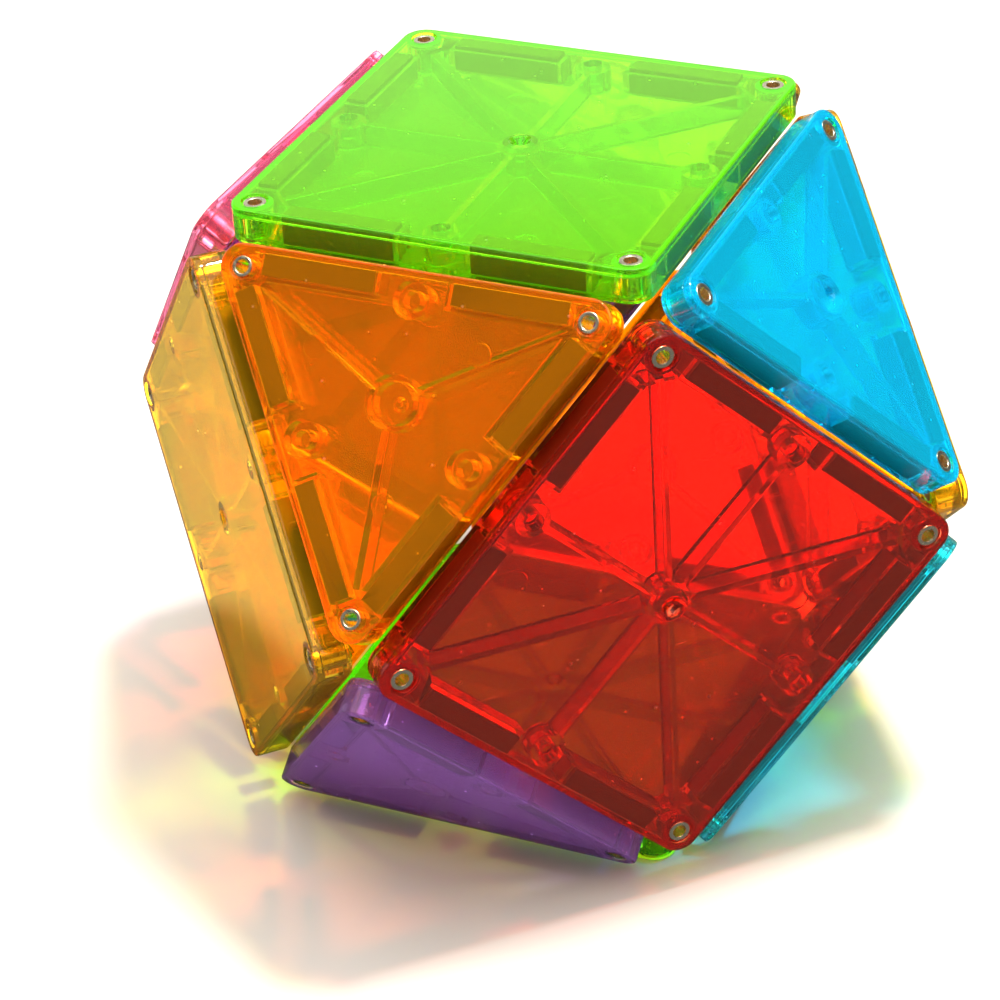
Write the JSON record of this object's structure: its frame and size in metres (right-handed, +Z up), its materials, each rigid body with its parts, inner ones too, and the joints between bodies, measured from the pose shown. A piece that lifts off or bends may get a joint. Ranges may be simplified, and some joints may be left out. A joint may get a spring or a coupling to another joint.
{
  "type": "magnetic tile cuboctahedron",
  "caption": "Closed cuboctahedron of square and triangular translucent magnetic building tiles, hinged edge to edge so that it folds out flat.",
  "frame": {"origin": "middle of the outer face of the square tile that the solid stands on", "axes": "+Z up, through the middles of the bottom and top squares; -Y to the front square, +X to the right square"},
  "size_m": [0.1206, 0.1206, 0.1206],
  "materials": {
    "green_plastic": "translucent, glossy",
    "red_plastic": "translucent, glossy",
    "yellow_plastic": "translucent, glossy",
    "amber_plastic": "translucent, glossy",
    "orange_plastic": "translucent, glossy",
    "blue_plastic": "translucent, glossy",
    "cyan_plastic": "translucent, glossy",
    "purple_plastic": "translucent, glossy",
    "pink_plastic": "translucent, glossy",
    "magnet": "matt dark grey",
    "rivet_metal": "polished, pale gold"
  },
  "bodies": {
    "bottom_square": {"bottom_square_base": "green_plastic", "bottom_square_cover": "green_plastic", "bottom_square_magnets": "magnet", "bottom_square_rivets": "rivet_metal"},
    "top_square": {"top_square_base": "green_plastic", "top_square_cover": "green_plastic", "top_square_magnets": "magnet", "top_square_rivets": "rivet_metal"},
    "front_square": {"front_square_base": "red_plastic", "front_square_cover": "red_plastic", "front_square_magnets": "magnet", "front_square_rivets": "rivet_metal"},
    "back_square": {"back_square_base": "purple_plastic", "back_square_cover": "purple_plastic", "back_square_magnets": "magnet", "back_square_rivets": "rivet_metal"},
    "left_square": {"left_square_base": "yellow_plastic", "left_square_cover": "yellow_plastic", "left_square_magnets": "magnet", "left_square_rivets": "rivet_metal"},
    "right_square": {"right_square_base": "amber_plastic", "right_square_cover": "amber_plastic", "right_square_magnets": "magnet", "right_square_rivets": "rivet_metal"},
    "lower_front_left_triangle": {"lower_front_left_triangle_base": "purple_plastic", "lower_front_left_triangle_cover": "purple_plastic", "lower_front_left_triangle_magnets": "magnet", "lower_front_left_triangle_rivets": "rivet_metal"},
    "lower_front_right_triangle": {"lower_front_right_triangle_base": "cyan_plastic", "lower_front_right_triangle_cover": "cyan_plastic", "lower_front_right_triangle_magnets": "magnet", "lower_front_right_triangle_rivets": "rivet_metal"},
    "lower_back_right_triangle": {"lower_back_right_triangle_base": "orange_plastic", "lower_back_right_triangle_cover": "orange_plastic", "lower_back_right_triangle_magnets": "magnet", "lower_back_right_triangle_rivets": "rivet_metal"},
    "lower_back_left_triangle": {"lower_back_left_triangle_base": "orange_plastic", "lower_back_left_triangle_cover": "orange_plastic", "lower_back_left_triangle_magnets": "magnet", "lower_back_left_triangle_rivets": "rivet_metal"},
    "upper_front_left_triangle": {"upper_front_left_triangle_base": "orange_plastic", "upper_front_left_triangle_cover": "orange_plastic", "upper_front_left_triangle_magnets": "magnet", "upper_front_left_triangle_rivets": "rivet_metal"},
    "upper_front_right_triangle": {"upper_front_right_triangle_base": "blue_plastic", "upper_front_right_triangle_cover": "blue_plastic", "upper_front_right_triangle_magnets": "magnet", "upper_front_right_triangle_rivets": "rivet_metal"},
    "upper_back_right_triangle": {"upper_back_right_triangle_base": "yellow_plastic", "upper_back_right_triangle_cover": "yellow_plastic", "upper_back_right_triangle_magnets": "magnet", "upper_back_right_triangle_rivets": "rivet_metal"},
    "upper_back_left_triangle": {"upper_back_left_triangle_base": "pink_plastic", "upper_back_left_triangle_cover": "pink_plastic", "upper_back_left_triangle_magnets": "magnet", "upper_back_left_triangle_rivets": "rivet_metal"}
  },
  "joints": [
    {"name": "lower_front_left_triangle_hinge", "type": "hinge", "parent": "bottom_square", "child": "lower_front_left_triangle", "pos_m": [-0.02694, -0.02694, 0.0064], "axis": [0.7071, -0.7071, 0], "range_deg": [0, 54.7]},
    {"name": "lower_front_right_triangle_hinge", "type": "hinge", "parent": "bottom_square", "child": "lower_front_right_triangle", "pos_m": [0.02694, -0.02694, 0.0064], "axis": [0.7071, 0.7071, 0], "range_deg": [0, 54.7]},
    {"name": "lower_back_right_triangle_hinge", "type": "hinge", "parent": "bottom_square", "child": "lower_back_right_triangle", "pos_m": [0.02694, 0.02694, 0.0064], "axis": [-0.7071, 0.7071, 0], "range_deg": [0, 54.7]},
    {"name": "lower_back_left_triangle_hinge", "type": "hinge", "parent": "bottom_square", "child": "lower_back_left_triangle", "pos_m": [-0.02694, 0.02694, 0.0064], "axis": [-0.7071, -0.7071, 0], "range_deg": [0, 54.7]},
    {"name": "front_square_hinge", "type": "hinge", "parent": "lower_front_right_triangle", "child": "front_square", "pos_m": [0.02694, -0.05388, 0.03334], "axis": [0.7071, 0, 0.7071], "range_deg": [0, 54.7]},
    {"name": "right_square_hinge", "type": "hinge", "parent": "lower_back_right_triangle", "child": "right_square", "pos_m": [0.05388, 0.02694, 0.03334], "axis": [0, 0.7071, 0.7071], "range_deg": [0, 54.7]},
    {"name": "back_square_hinge", "type": "hinge", "parent": "lower_back_left_triangle", "child": "back_square", "pos_m": [-0.02694, 0.05388, 0.03334], "axis": [-0.7071, 0, 0.7071], "range_deg": [0, 54.7]},
    {"name": "left_square_hinge", "type": "hinge", "parent": "lower_front_left_triangle", "child": "left_square", "pos_m": [-0.05388, -0.02694, 0.03334], "axis": [0, -0.7071, 0.7071], "range_deg": [0, 54.7]},
    {"name": "upper_front_left_triangle_hinge", "type": "hinge", "parent": "front_square", "child": "upper_front_left_triangle", "pos_m": [-0.02694, -0.05388, 0.08722], "axis": [0.7071, 0, 0.7071], "range_deg": [0, 54.7]},
    {"name": "upper_front_right_triangle_hinge", "type": "hinge", "parent": "front_square", "child": "upper_front_right_triangle", "pos_m": [0.02694, -0.05388, 0.08722], "axis": [0.7071, 0, -0.7071], "range_deg": [0, 54.7]},
    {"name": "upper_back_right_triangle_hinge", "type": "hinge", "parent": "back_square", "child": "upper_back_right_triangle", "pos_m": [0.02694, 0.05388, 0.08722], "axis": [-0.7071, 0, 0.7071], "range_deg": [0, 54.7]},
    {"name": "upper_back_left_triangle_hinge", "type": "hinge", "parent": "left_square", "child": "upper_back_left_triangle", "pos_m": [-0.05388, 0.02694, 0.08722], "axis": [0, -0.7071, 0.7071], "range_deg": [0, 54.7]},
    {"name": "top_square_hinge", "type": "hinge", "parent": "upper_front_left_triangle", "child": "top_square", "pos_m": [-0.02694, -0.02694, 0.11416], "axis": [0.7071, -0.7071, 0], "range_deg": [0, 54.7]}
  ]
}
